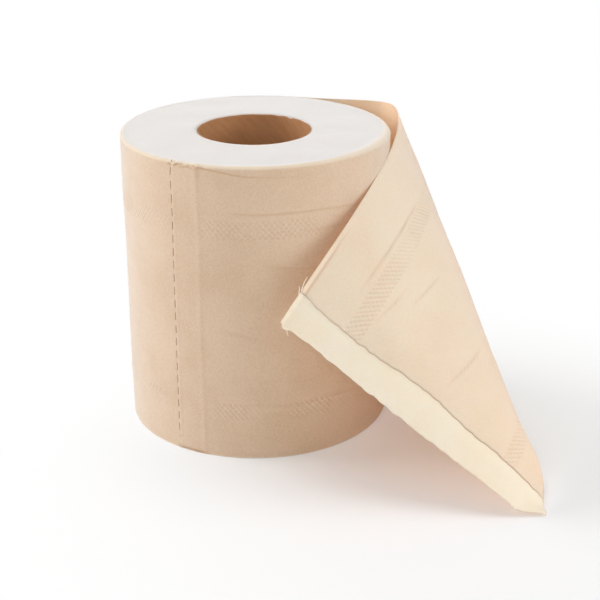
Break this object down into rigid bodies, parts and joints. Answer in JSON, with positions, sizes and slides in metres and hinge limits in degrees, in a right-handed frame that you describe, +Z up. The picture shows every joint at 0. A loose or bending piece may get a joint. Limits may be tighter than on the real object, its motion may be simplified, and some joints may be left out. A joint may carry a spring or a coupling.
{
  "type": "toilet paper roll",
  "caption": "Roll of unbleached tissue wound on a cardboard core, standing on end with its torn loose tail curling down beside it.",
  "frame": {"origin": "on the roll's axis, at the base it stands on", "axes": "+Z up along the core's axis, +X towards the side where the loose tail hangs"},
  "size_m": [0.1428, 0.1346, 0.1051],
  "materials": {
    "cardboard": "matte",
    "tissue": "matte"
  },
  "bodies": {
    "root": {"core_tube": "cardboard", "tissue_web": "tissue"}
  },
  "joints": []
}
